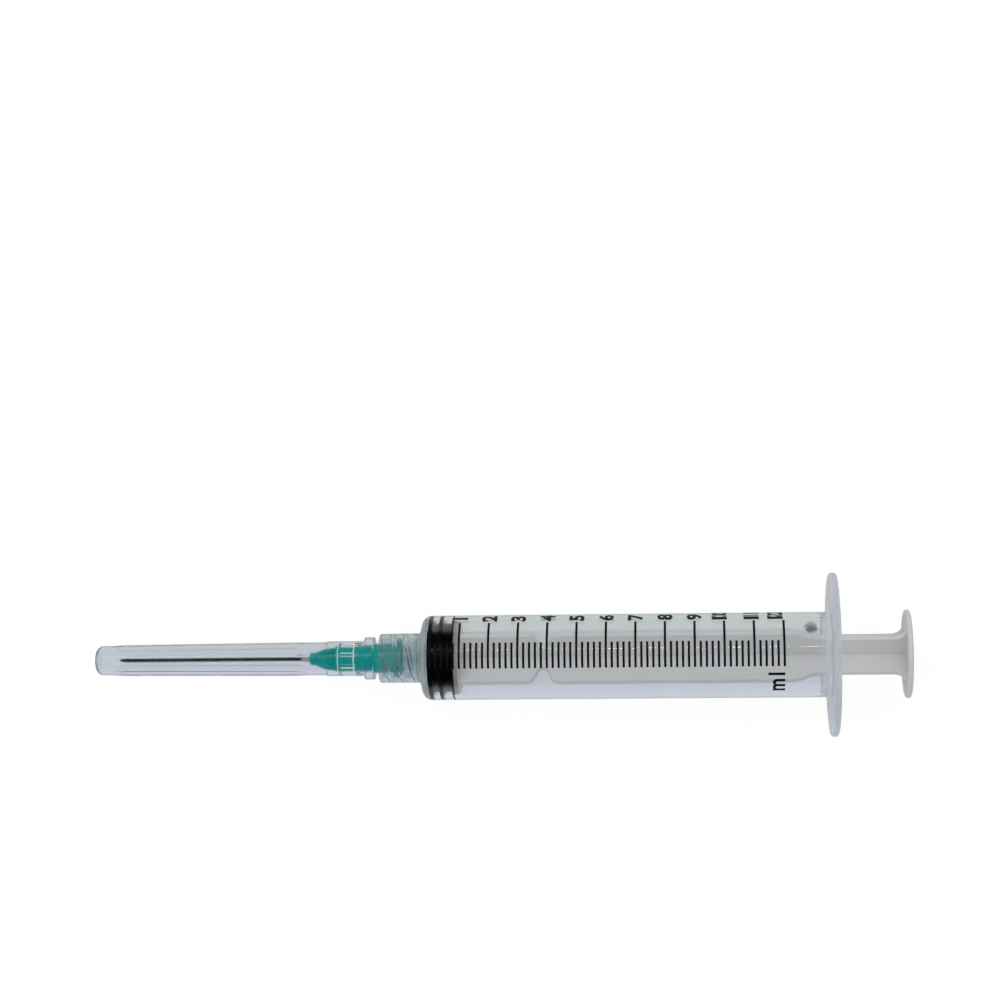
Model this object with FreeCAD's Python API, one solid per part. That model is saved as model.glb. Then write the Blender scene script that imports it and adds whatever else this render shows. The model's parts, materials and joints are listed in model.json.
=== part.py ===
import FreeCAD, Part
import math
import os

# A 10 ml syringe with a capped needle screwed on, lying on a table as it comes to rest.
# Every piece is first drawn along the syringe's own axis, in millimetres: x = 0 is the
# zero line of the scale, the needle points to -x and the thumb press is at the +x end.
# At the very end the whole syringe is tipped until its flange and the tip of its cap
# both touch the table at z = 0.

Vector = FreeCAD.Vector
ORIGIN = Vector(0, 0, 0)
AXIS = Vector(1, 0, 0)

# Tube of the barrel. One millilitre is as long as the bore makes it.
bore_d = 14.9
barrel_wall = 0.9
scale_ml = 12
scale_to_flange = 9.08
bore_front_x = -0.7
front_wall_t = 1.0
front_wall_slope = 0.9
shoulder_round = 1.8

# Finger flange of the barrel: a disc with two flats, so that it doesn't roll.
flange_d = 32.0
flange_flat_cut = 1.0
flange_t = 1.4
flange_bevel = 0.4
flange_fillet = 0.8
mouth_chamfer = 0.5

# Ring inside the mouth of the barrel that stops the stopper.
stop_ring_h = 0.15
stop_ring_w = 1.2
stop_ring_inset = 2.4

# Luer tip of the barrel with its threaded collar.
collar_len = 8.1
collar_d = 9.7
collar_draft = 0.05
collar_wall = 0.85
collar_chamfer = 0.5
collar_fillet = 0.6
collar_floor_t = 0.35
luer_tip_d = 3.93
luer_taper = 0.06
luer_projection = 2.1
luer_tip_bevel = 0.2
lumen_d = 2.1

# Double thread in the collar and the two ears of the needle hub that run in it.
thread_lead = 5.0
thread_starts = 2
thread_depth = 0.55
thread_root_w = 1.0
thread_crest_w = 0.45
thread_bite = 0.2
ear_w = 1.2
ear_crest_w = 0.9
ear_d = 7.7
ear_turn = 60.0
ear_deg = 90.0

# Rubber stopper with three sealing rings, grooves between them, and a shallow nose.
stopper_len = 5.0
ring_w = 0.9
rear_ring_w = 0.45
ring_pitch = 2.05
ring_bevel = 0.12
groove_depth = 0.6
stopper_gap = 0.04
nose_gap = 0.12
cavity_gap = 0.08

# Head of the plunger rod: a barbed stud inside the stopper and a disc behind it.
stud_neck_d = 6.2
stud_barb_d = 8.4
stud_len = 3.3
stud_barb_len = 2.3
stud_barb_bevel = 0.5
head_disc_d = 14.4
head_disc_t = 0.85
head_disc_gap = 0.05

# Rod of the plunger: two crossed ribs with a weak neck, narrower at the thumb end.
rib_t = 1.0
rib_span = 12.8
rod_len = 93.4
neck_x = 21.8
neck_span = 6.2
neck_flat = 1.7
neck_slope = 1.15
neck_round = 1.1
neck_shoulder_round = 1.5
grip_span = 9.7
grip_len = 17.9
grip_slope = 3.0
grip_round = 6.4
thumb_d = 17.3
thumb_t = 0.95
thumb_bevel = 0.25
thumb_flare = 2.5

# Needle hub: socket that sits on the luer tip, plain body, and a finned nose.
hub_on_cone = 6.5
seat_gap = 0.02
hub_body_d = 5.75
hub_body_len = 6.0
hub_neck_d = 5.2
hub_neck_len = 7.2
hub_nose_d = 2.45
hub_nose_len = 5.3
hub_nose_bevel = 0.2
hub_fins = 4
hub_fin_t = 0.7
hub_fin_start = 0.8
hub_fin_rise = 2.1
hub_fin_drop = 0.35
hub_fin_round = 1.5
hub_fin_root = 1.0
socket_len = 8.2
glue_well_d = 1.7
glue_well_len = 0.8

# Cannula of 21 gauge, ground to a long bevel, and the bead of glue that holds it.
cannula_d = 0.82
cannula_bore = 0.51
cannula_out = 38.8
cannula_in = 9.0
bevel_deg = 13.0
cannula_gap = 0.03
bead_len = 1.6
bead_d = 1.5
bead_foot = 0.4
bead_edge = 0.12

# Needle cap: a long tapered sheath, a wider skirt over the hub, and a collar at its mouth.
cap_on_body = 0.45
cap_len = 56.3
cap_tip_d = 5.9
cap_sheath_d = 6.6
cap_skirt_d = 6.95
cap_skirt_len = 9.45
cap_collar_d = 8.4
cap_collar_len = 1.95
cap_wall = 0.65
cap_end_t = 0.8
cap_tip_round = 1.4
cap_inner_bevel = 0.5
cap_step = 0.2
cap_mouth_gap = 0.25
cap_mouth_len = 3.8
cap_collar_bevel = 0.35
cap_grip_ribs = 8
cap_grip_rib_t = 0.75
cap_grip_rib_len = 4.0
cap_grip_inset = 2.45
cap_grip_slope = 0.5
cap_grip_gap = 0.03
cap_grip_deg = -18.0
cap_flutes = 12
cap_flute_w = 0.45
cap_flute_h = 0.12
cap_flute_inset = 3.0
cap_flute_end = 0.6
cap_clear = 2.0

# Sizes and places that follow from the ones above.
bore_r = bore_d / 2
barrel_r = bore_r + barrel_wall
ml_length = 1000 / (math.pi * bore_r ** 2)
flange_x = scale_ml * ml_length + scale_to_flange
mouth_x = flange_x + flange_t
flange_flat_z = flange_d / 2 - flange_flat_cut
stop_ring_x = mouth_x - stop_ring_inset
front_x = bore_front_x - front_wall_slope - front_wall_t
collar_end_x = front_x - collar_len
collar_floor_x = front_x - collar_floor_t
collar_r = collar_d / 2
thread_root_r = collar_r - collar_wall
luer_tip_x = collar_end_x - luer_projection
stopper_front_x = bore_front_x + nose_gap
stopper_end_x = stopper_front_x + stopper_len
ring_r = bore_r - stopper_gap
hub_mouth_x = luer_tip_x + hub_on_cone
hub_shoulder_x = hub_mouth_x - hub_body_len
hub_nose_x = hub_shoulder_x - hub_neck_len
hub_front_x = hub_nose_x - hub_nose_len
ear_x = hub_mouth_x - ear_w / 2
cap_mouth_x = hub_shoulder_x + cap_on_body
cap_end_x = cap_mouth_x - cap_len
cap_skirt_x = cap_mouth_x - cap_skirt_len
needle_tip_x = hub_front_x - cannula_out
thumb_x = rod_len - thumb_t

# How far each moving piece travels.
plunger_travel = stop_ring_x - stop_ring_w / 2 - stopper_end_x
hub_travel = thread_lead
cap_travel = cap_mouth_x - needle_tip_x + cap_clear


def luer_radius(x):
    """Radius of the barrel's luer cone at x."""
    return (luer_tip_d + luer_taper * (x - luer_tip_x)) / 2


def outline(corners):
    """Face in the x-z plane; a corner is (x, z) or, where it is round, (x, z, radius)."""
    points = [Vector(corner[0], 0, corner[1]) for corner in corners]
    rounds = [corner[2] if len(corner) == 3 else 0 for corner in corners]
    starts = []
    ends = []
    arcs = []
    for i, point in enumerate(points):
        back = (points[i - 1] - point).normalize()
        ahead = (points[(i + 1) % len(points)] - point).normalize()
        if not rounds[i]:
            starts.append(point)
            ends.append(point)
            continue
        half = back.getAngle(ahead) / 2
        reach = rounds[i] / math.tan(half)
        middle = (back + ahead).normalize() * (rounds[i] / math.sin(half) - rounds[i])
        starts.append(point + back * reach)
        ends.append(point + ahead * reach)
        arcs.append(Part.Arc(starts[i], point + middle, ends[i]).toShape())
    edges = list(arcs)
    for i, end in enumerate(ends):
        start = starts[(i + 1) % len(points)]
        if (start - end).Length > 1e-6:
            edges.append(Part.LineSegment(end, start).toShape())
    return Part.Face(Part.Wire(Part.__sortEdges__(edges)))


def turned(corners):
    """Solid of revolution about the syringe's axis; z in the corners is the radius."""
    return outline(corners).revolve(ORIGIN, AXIS, 360)


def plate(corners, thickness):
    """Flat plate in the x-z plane, half its thickness to each side."""
    face = outline(corners)
    face.translate(Vector(0, -thickness / 2, 0))
    return face.extrude(Vector(0, thickness, 0))


def round_the_axis(shape, count, first_deg=0):
    """Copies of a shape, evenly spaced round the syringe's axis."""
    copies = []
    for i in range(count):
        copy = shape.copy()
        copy.rotate(ORIGIN, AXIS, first_deg + 360 * i / count)
        copies.append(copy)
    return copies


def joined(shapes):
    """One solid from touching shapes, with its split faces merged."""
    solid = shapes[0].fuse(shapes[1:]).removeSplitter()
    return solid.Solids[0]


def helix_ridge(root_r, crest_r, root_w, crest_w, start_x, length):
    """Ridge of a right-hand thread that starts at start_x, straight above the axis."""
    turns_height = Part.makeHelix(thread_lead, length, root_r)
    section = Part.makePolygon([
        Vector(root_r, 0, -root_w / 2),
        Vector(crest_r, 0, -crest_w / 2),
        Vector(crest_r, 0, crest_w / 2),
        Vector(root_r, 0, root_w / 2),
        Vector(root_r, 0, -root_w / 2),
    ])
    ridge = Part.Wire(turns_height).makePipeShell([section], True, True)
    ridge.rotate(ORIGIN, Vector(0, 1, 0), 90)
    ridge.rotate(ORIGIN, AXIS, 180)
    ridge.translate(Vector(start_x, 0, 0))
    return ridge


def flange():
    """Disc with two flats, its rim bevelled on both sides."""
    rim_r = flange_d / 2
    flat_y = math.sqrt(rim_r ** 2 - flange_flat_z ** 2)
    top_left = Vector(flange_x, -flat_y, flange_flat_z)
    top_right = Vector(flange_x, flat_y, flange_flat_z)
    low_right = Vector(flange_x, flat_y, -flange_flat_z)
    low_left = Vector(flange_x, -flat_y, -flange_flat_z)
    rim = Part.Wire([
        Part.LineSegment(top_left, top_right).toShape(),
        Part.Arc(top_right, Vector(flange_x, rim_r, 0), low_right).toShape(),
        Part.LineSegment(low_right, low_left).toShape(),
        Part.Arc(low_left, Vector(flange_x, -rim_r, 0), top_left).toShape(),
    ])
    disc = Part.Face(rim).extrude(AXIS * flange_t)
    rim_edges = [edge for edge in disc.Edges if edge.BoundBox.XLength < 1e-6]
    return disc.makeChamfer(flange_bevel, rim_edges)


def barrel():
    """Tube, flange, threaded collar and luer tip, moulded as one piece."""
    lumen_r = lumen_d / 2
    collar_base_r = collar_r + collar_draft
    bore_end_x = bore_front_x - front_wall_slope
    corners = [
        (luer_tip_x, lumen_r),
        (luer_tip_x, luer_radius(luer_tip_x) - luer_tip_bevel),
        (luer_tip_x + luer_tip_bevel, luer_radius(luer_tip_x + luer_tip_bevel)),
        (collar_floor_x, luer_radius(collar_floor_x)),
        (collar_floor_x, thread_root_r),
        (collar_end_x + collar_chamfer / 2, thread_root_r),
        (collar_end_x, thread_root_r + collar_chamfer / 2),
        (collar_end_x, collar_r - collar_chamfer / 2),
        (collar_end_x + collar_chamfer, collar_r),
        (front_x - collar_fillet, collar_base_r),
        (front_x, collar_base_r + collar_fillet),
        (front_x + front_wall_slope, barrel_r, shoulder_round),
        (flange_x - flange_fillet, barrel_r),
        (flange_x, barrel_r + flange_fillet),
        (mouth_x, barrel_r + flange_fillet),
        (mouth_x, bore_r + mouth_chamfer),
        (mouth_x - mouth_chamfer, bore_r),
        (stop_ring_x + stop_ring_w / 2, bore_r),
        (stop_ring_x, bore_r - stop_ring_h),
        (stop_ring_x - stop_ring_w / 2, bore_r),
        (bore_front_x, bore_r),
        (bore_end_x, lumen_r),
    ]
    moulding = turned(corners)
    # The inside of the flange is already part of the turned moulding.
    hole_r = barrel_r + flange_fillet / 2
    hole = Part.makeCylinder(hole_r, flange_t, Vector(flange_x, 0, 0), AXIS)
    return joined([moulding, flange().cut(hole)] + thread())


def thread():
    """The two starts of the collar's inner thread, half a pitch beside the hub's ears."""
    pitch = thread_lead / thread_starts
    start_x = collar_end_x + collar_chamfer + thread_root_w / 2
    length = collar_floor_x - start_x - thread_root_w / 2
    ridge = helix_ridge(
        thread_root_r + thread_bite,
        thread_root_r - thread_depth,
        thread_root_w,
        thread_crest_w,
        start_x,
        length,
    )
    turn_from_ears = 360 * (start_x - (ear_x - pitch / 2)) / thread_lead
    return round_the_axis(ridge, thread_starts, ear_deg + turn_from_ears)


def plunger_stopper():
    """Rubber stopper with a cavity for the stud of the rod."""
    groove_r = ring_r - groove_depth
    lip_r = stud_neck_d / 2 + cavity_gap
    cavity_r = stud_barb_d / 2 + cavity_gap
    nose = front_wall_slope * ring_r / (bore_r - lumen_d / 2)
    stud_x = stopper_end_x + head_disc_gap - stud_len
    cavity_x = stud_x - cavity_gap
    stud_step_x = stud_x + stud_barb_len + cavity_gap
    corners = [
        (stopper_front_x - nose, 0),
        (stopper_front_x, ring_r - ring_bevel),
        (stopper_front_x + ring_bevel, ring_r),
        (stopper_front_x + ring_w - ring_bevel, ring_r),
        (stopper_front_x + ring_w, groove_r),
    ]
    later_rings = [
        (stopper_front_x + ring_pitch, ring_w),
        (stopper_end_x - rear_ring_w, rear_ring_w),
    ]
    for ring_x, width in later_rings:
        corners += [
            (ring_x, groove_r),
            (ring_x + ring_bevel, ring_r),
            (ring_x + width - ring_bevel, ring_r),
            (ring_x + width, groove_r),
        ]
    corners += [
        (stopper_end_x, lip_r),
        (stud_step_x, lip_r),
        (stud_step_x, cavity_r),
        (cavity_x, cavity_r),
        (cavity_x, 0),
    ]
    return turned(corners)


def plunger_head():
    """Barbed stud and disc at the front of the rod."""
    disc_x = stopper_end_x + head_disc_gap
    stud_x = disc_x - stud_len
    corners = [
        (stud_x, 0),
        (stud_x, stud_barb_d / 2 - stud_barb_bevel),
        (stud_x + stud_barb_bevel, stud_barb_d / 2),
        (stud_x + stud_barb_len, stud_barb_d / 2),
        (stud_x + stud_barb_len, stud_neck_d / 2),
        (disc_x, stud_neck_d / 2),
        (disc_x, head_disc_d / 2),
        (disc_x + head_disc_t, head_disc_d / 2),
        (disc_x + head_disc_t, 0),
    ]
    return turned(corners)


def plunger_rod():
    """Crossed ribs between the head and the thumb press, with the weak neck cut in."""
    rib_z = rib_span / 2
    neck_z = neck_span / 2
    grip_z = grip_span / 2
    grip_x = thumb_x - grip_len
    flare_z = grip_z + thumb_flare
    start_x = stopper_end_x + head_disc_gap + head_disc_t / 2
    neck_half = neck_flat / 2
    upper = [
        (start_x, rib_z),
        (neck_x - neck_half - neck_slope, rib_z, neck_shoulder_round),
        (neck_x - neck_half, neck_z, neck_round),
        (neck_x + neck_half, neck_z, neck_round),
        (neck_x + neck_half + neck_slope, rib_z, neck_shoulder_round),
        (grip_x - grip_slope, rib_z, grip_round),
        (grip_x, grip_z, grip_round),
        (thumb_x, grip_z, thumb_flare),
        (thumb_x, flare_z),
        (thumb_x + thumb_t / 2, flare_z),
    ]
    lower = [(corner[0], -corner[1]) + corner[2:] for corner in reversed(upper)]
    rib = plate(upper + lower, rib_t)
    thumb_press = turned([
        (thumb_x, 0),
        (thumb_x, thumb_d / 2 - thumb_bevel),
        (thumb_x + thumb_bevel, thumb_d / 2),
        (thumb_x + thumb_t - thumb_bevel, thumb_d / 2),
        (thumb_x + thumb_t, thumb_d / 2 - thumb_bevel),
        (thumb_x + thumb_t, 0),
    ])
    return joined([plunger_head(), thumb_press] + round_the_axis(rib, 4, 45)[:2])


def needle_hub():
    """Hub with its luer socket, two ears, finned nose and glue well."""
    bore = cannula_d / 2 + cannula_gap
    well_r = glue_well_d / 2
    socket_end_x = hub_mouth_x - socket_len
    neck_r = hub_neck_d / 2
    nose_r = hub_nose_d / 2
    fin_x = hub_front_x + hub_fin_start
    # The roots of the fins reach into the nose and the neck, so that all fuse.
    root_r = (bore + nose_r) / 2
    corners = [
        (hub_mouth_x, luer_radius(hub_mouth_x) + seat_gap),
        (hub_mouth_x, hub_body_d / 2),
        (hub_shoulder_x, hub_body_d / 2),
        (hub_shoulder_x, neck_r),
        (hub_nose_x, neck_r),
        (hub_nose_x, nose_r),
        (hub_front_x + hub_nose_bevel, nose_r),
        (hub_front_x, nose_r - hub_nose_bevel),
        (hub_front_x, well_r),
        (hub_front_x + glue_well_len, well_r),
        (hub_front_x + glue_well_len, bore),
        (socket_end_x, bore),
        (socket_end_x, luer_radius(socket_end_x) + seat_gap),
    ]
    fin = plate([
        (hub_nose_x + hub_fin_root, root_r),
        (hub_nose_x + hub_fin_root, neck_r - seat_gap),
        (hub_nose_x, neck_r - seat_gap),
        (fin_x + hub_fin_rise, neck_r - hub_fin_drop, hub_fin_round),
        (fin_x, nose_r),
        (fin_x, (nose_r + well_r) / 2),
        (fin_x + glue_well_len, root_r),
    ], hub_fin_t)
    ear_length = thread_lead * ear_turn / 360
    ear = helix_ridge(
        hub_body_d / 2 - thread_bite,
        ear_d / 2,
        ear_w,
        ear_crest_w,
        ear_x - ear_length / 2,
        ear_length,
    )
    ears = round_the_axis(ear, thread_starts, ear_deg - ear_turn / 2)
    # What a slanted ear leaves standing in front of the mouth is trimmed flush with it.
    beyond = Part.makeCylinder(ear_d, 2 * ear_w, Vector(hub_mouth_x, 0, 0), AXIS)
    ears = [one.cut(beyond) for one in ears]
    return joined([turned(corners)] + round_the_axis(fin, hub_fins, 45) + ears)


def needle_cannula():
    """Steel tube with its point ground to a bevel that faces up."""
    length = cannula_out + cannula_in
    start = Vector(needle_tip_x, 0, 0)
    tube = Part.makeCylinder(cannula_d / 2, length, start, AXIS)
    lumen = Part.makeCylinder(cannula_bore / 2, length, start, AXIS)
    slant = math.radians(bevel_deg)
    bevel_len = cannula_d / math.tan(slant)
    bevel = plate([
        (needle_tip_x, -cannula_d / 2),
        (needle_tip_x + bevel_len, cannula_d / 2),
        (needle_tip_x + bevel_len, cannula_d),
        (needle_tip_x - bevel_len, cannula_d),
        (needle_tip_x - bevel_len, -cannula_d / 2),
    ], 2 * cannula_d)
    return tube.cut([lumen, bevel]).Solids[0]


def adhesive_bead():
    """Drop of cured glue that fills the well and climbs a little way up the cannula."""
    inner_r = cannula_d / 2 + cannula_gap / 2
    well_r = glue_well_d / 2 - cannula_gap
    well_x = hub_front_x + glue_well_len - cannula_gap
    corners = [
        (well_x, inner_r),
        (well_x, well_r),
        (hub_front_x, well_r),
        (hub_front_x - bead_foot, bead_d / 2),
        (hub_front_x - bead_len, inner_r + bead_edge),
        (hub_front_x - bead_len, inner_r),
    ]
    return turned(corners)


def needle_cap():
    """Cap, open at the hub and closed past the needle's point."""
    tip_r = cap_tip_d / 2
    sheath_r = cap_sheath_d / 2
    skirt_r = cap_skirt_d / 2
    collar_ring_r = cap_collar_d / 2
    inner_skirt_r = skirt_r - cap_wall + cap_step / 2
    inner_mouth_r = hub_body_d / 2 + cap_mouth_gap
    inner_tip_r = tip_r - cap_wall
    inner_end_x = cap_end_x + cap_end_t
    grip_x = cap_skirt_x + cap_grip_inset
    mouth_step_x = cap_mouth_x - cap_mouth_len
    collar_x = cap_mouth_x - cap_collar_len
    shell = turned([
        (cap_end_x, 0),
        (cap_end_x, tip_r, cap_tip_round),
        (cap_skirt_x - cap_step, sheath_r),
        (cap_skirt_x, skirt_r),
        (collar_x, skirt_r),
        (collar_x, collar_ring_r - cap_collar_bevel),
        (collar_x + cap_collar_bevel, collar_ring_r),
        (cap_mouth_x, collar_ring_r),
        (cap_mouth_x, inner_mouth_r),
        (mouth_step_x, inner_mouth_r),
        (mouth_step_x - cap_step, inner_skirt_r),
        (grip_x, inner_skirt_r),
        (grip_x - cap_step, sheath_r - cap_wall),
        (inner_end_x + cap_inner_bevel, inner_tip_r),
        (inner_end_x, inner_tip_r - cap_inner_bevel),
        (inner_end_x, 0),
    ])
    rib_tip_r = hub_neck_d / 2 + cap_grip_gap
    rib_root_r = inner_mouth_r + cap_step
    grip_end_x = grip_x + cap_grip_rib_len
    grip_rib = plate([
        (grip_x, rib_root_r),
        (grip_x, rib_tip_r + cap_step / 2),
        (grip_x + cap_grip_slope, rib_tip_r),
        (grip_end_x, rib_tip_r),
        (grip_end_x + cap_grip_slope, rib_root_r),
    ], cap_grip_rib_t)
    taper = (sheath_r - tip_r) / (cap_skirt_x - cap_end_x)
    flute_start_x = cap_end_x + cap_flute_inset
    flute_end_x = cap_skirt_x - cap_flute_inset
    start_r = tip_r + taper * (flute_start_x - cap_end_x)
    end_r = tip_r + taper * (flute_end_x - cap_end_x)
    flute = plate([
        (flute_start_x, start_r - cap_wall / 2),
        (flute_start_x, start_r),
        (flute_start_x + cap_flute_end, start_r + cap_flute_h),
        (flute_end_x - cap_flute_end, end_r + cap_flute_h),
        (flute_end_x, end_r),
        (flute_end_x, end_r - cap_wall / 2),
    ], cap_flute_w)
    ribs = round_the_axis(grip_rib, cap_grip_ribs, cap_grip_deg)
    flutes = round_the_axis(flute, cap_flutes, 180 / cap_flutes)
    return joined([shell] + ribs + flutes)


def rest_tilt():
    """Angle, in degrees, by which the thumb end rises when flange and cap tip rest."""
    cap_centre_x = cap_end_x + cap_tip_round
    cap_centre_z = -(cap_tip_d / 2 - cap_tip_round)
    along = flange_x + flange_bevel - cap_centre_x
    down = cap_centre_z + flange_flat_z
    span = math.hypot(along, down)
    line = math.atan2(down, along)
    return math.degrees(line - math.asin(cap_tip_round / span))


def laid_down(pieces):
    """The pieces tipped by the rest angle, centred over the origin, lowest point at z = 0."""
    tilt = FreeCAD.Rotation(Vector(0, 1, 0), -rest_tilt())
    tipping = FreeCAD.Placement(ORIGIN, tilt).toMatrix()
    tipped = {name: shape.transformed(tipping, True) for name, shape in pieces.items()}
    box = Part.makeCompound(list(tipped.values())).optimalBoundingBox(False, False)
    shift = Vector(-(box.XMin + box.XMax) / 2, -(box.YMin + box.YMax) / 2, -box.ZMin)
    for shape in tipped.values():
        shape.translate(shift)
    return tipped, shift


drawn = {
    "barrel": barrel(),
    "plunger_rod": plunger_rod(),
    "plunger_stopper": plunger_stopper(),
    "needle_hub": needle_hub(),
    "needle_cannula": needle_cannula(),
    "adhesive_bead": adhesive_bead(),
    "needle_cap": needle_cap(),
}
resting, rest_shift = laid_down(drawn)

os.makedirs("parts", exist_ok=True)
for node, solid in resting.items():
    solid.exportStep("parts/" + node + ".step")
    print(node, "valid", solid.isValid(), "solids", len(solid.Solids), "volume", round(solid.Volume, 2))
print("tilt", round(rest_tilt(), 4), "shift", rest_shift)
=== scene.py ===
"""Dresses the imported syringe: clear barrel with its printed scale, plunger, needle and cap."""
import json
import math

import bmesh
import bpy
from mathutils import Matrix, Vector


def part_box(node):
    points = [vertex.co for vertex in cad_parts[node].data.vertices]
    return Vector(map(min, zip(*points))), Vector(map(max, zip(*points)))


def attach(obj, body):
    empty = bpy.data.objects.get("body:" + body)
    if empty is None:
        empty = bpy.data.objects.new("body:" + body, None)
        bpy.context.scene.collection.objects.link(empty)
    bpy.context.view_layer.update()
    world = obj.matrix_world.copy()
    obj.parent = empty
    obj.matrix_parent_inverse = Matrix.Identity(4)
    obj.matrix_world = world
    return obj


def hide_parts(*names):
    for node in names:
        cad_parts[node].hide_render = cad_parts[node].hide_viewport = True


bl_info = {
    "name": "Capped syringe",
    "version": (1, 0, 0),
    "blender": (4, 5, 0),
    "location": "3D View > Sidebar > Syringe",
    "description": "Builds a luer lock syringe with a capped needle round its CAD frame",
    "category": "Object",
}

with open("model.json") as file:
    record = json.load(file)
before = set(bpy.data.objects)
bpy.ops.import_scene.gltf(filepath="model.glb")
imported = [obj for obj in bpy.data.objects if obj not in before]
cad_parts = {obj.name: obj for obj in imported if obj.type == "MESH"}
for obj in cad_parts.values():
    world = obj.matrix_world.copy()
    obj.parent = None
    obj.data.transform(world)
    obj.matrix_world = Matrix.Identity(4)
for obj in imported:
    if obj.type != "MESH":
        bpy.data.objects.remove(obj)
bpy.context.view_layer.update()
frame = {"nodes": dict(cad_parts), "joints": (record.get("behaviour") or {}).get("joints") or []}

MM = 0.001

# Everything is drawn along the syringe's own axis, in metres: x = 0 is the zero line of the
# scale, the needle points to -x, z is up. Angles go round the axis from straight up to +y.
LUER_TIP_X = -12.8 * MM
ARC_STEPS = 6
WELD = 1e-6
SHARP = math.radians(32)
PLASTIC_IOR = 1.49

# Sizes that the frame gives.
FLANGE_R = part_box("barrel")[1].y
CAP_COLLAR_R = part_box("needle_cap")[1].y
RING_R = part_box("plunger_stopper")[1].y


def joint(name):
    """One joint of the frame by its name."""
    return next(one for one in frame["joints"] if one["name"] == name)


def resting_place():
    """Matrix that takes a point on the syringe's own axes to where the syringe lies."""
    along = Vector(joint("plunger_slide")["axis"]).normalized()
    side = Vector((0, 1, 0))
    up = along.cross(side)
    tip = min(vertex.co.dot(along) for vertex in frame["nodes"]["barrel"].data.vertices)
    on_axis = Vector(joint("hub_turn")["pos_m"])
    zero = on_axis + along * (tip - LUER_TIP_X - on_axis.dot(along))
    turn = Matrix((along, side, up)).transposed().to_4x4()
    return Matrix.Translation(zero) @ turn


PLACE = resting_place()
BACK = PLACE.inverted()


class SyringeSizes(bpy.types.PropertyGroup):
    """Sizes that a user may change."""

    bore: bpy.props.FloatProperty(
        name="Bore", description="Inner diameter of the tube",
        default=14.9 * MM, unit="LENGTH", precision=5)
    wall: bpy.props.FloatProperty(
        name="Wall", description="Thickness of the tube's wall",
        default=0.9 * MM, unit="LENGTH", precision=5)
    scale_ml: bpy.props.IntProperty(
        name="Scale", description="Millilitres on the scale", default=12)
    ticks_per_ml: bpy.props.IntProperty(
        name="Ticks per ml", description="Marks for each millilitre", default=5)
    tick_width: bpy.props.FloatProperty(
        name="Tick width", description="Width of a mark",
        default=0.46 * MM, unit="LENGTH", precision=5)
    tick_start: bpy.props.FloatProperty(
        name="Tick start", description="Where the marks begin round the tube",
        default=math.radians(-11), subtype="ANGLE")
    short_tick: bpy.props.FloatProperty(
        name="Short tick end", description="Where the short marks end round the tube",
        default=math.radians(24), subtype="ANGLE")
    long_tick: bpy.props.FloatProperty(
        name="Long tick end", description="Where the millilitre marks end round the tube",
        default=math.radians(58), subtype="ANGLE")
    digit_height: bpy.props.FloatProperty(
        name="Digit height", description="Height of the numbers",
        default=3.0 * MM, unit="LENGTH", precision=5)
    digit_start: bpy.props.FloatProperty(
        name="Digit start", description="Where the numbers begin round the tube",
        default=math.radians(60.5), subtype="ANGLE")
    ink_thickness: bpy.props.FloatProperty(
        name="Ink", description="Thickness of the print",
        default=0.012 * MM, unit="LENGTH", precision=6)
    thread_lead: bpy.props.FloatProperty(
        name="Thread lead", description="Travel of the needle in one turn",
        default=5.0 * MM, unit="LENGTH", precision=5)
    thread_depth: bpy.props.FloatProperty(
        name="Thread depth", description="Height of the thread's ridge",
        default=0.55 * MM, unit="LENGTH", precision=5)
    cap_flutes: bpy.props.IntProperty(
        name="Cap flutes", description="Fine ridges along the cap", default=12)
    flute_height: bpy.props.FloatProperty(
        name="Flute height", description="How far the cap's ridges stand out",
        default=0.12 * MM, unit="LENGTH", precision=6)
    cap_grips: bpy.props.IntProperty(
        name="Cap grips", description="Ribs inside the cap that hold the hub", default=8)
    key_light: bpy.props.FloatProperty(
        name="Overhead light", description="Brightness of the large soft lamp", default=1.4)
    strip_light: bpy.props.FloatProperty(
        name="Strip light", description="Brightness of the long narrow lamp", default=25.0)
    sky_light: bpy.props.FloatProperty(
        name="Sky light", description="Brightness of the light from all sides", default=0.72)
    white_floor: bpy.props.FloatProperty(
        name="White floor", description="Share of pure white in the floor that the camera sees",
        default=0.92, subtype="FACTOR")
    white_behind: bpy.props.FloatProperty(
        name="White behind plastic", description="Share of even light in the floor behind clear plastic",
        default=0.9, subtype="FACTOR")


def colour_property(name, description, default):
    """A linear colour that a user may change."""
    return bpy.props.FloatVectorProperty(
        name=name, description=description, default=default, size=3, subtype="COLOR", min=0, max=1)


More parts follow.
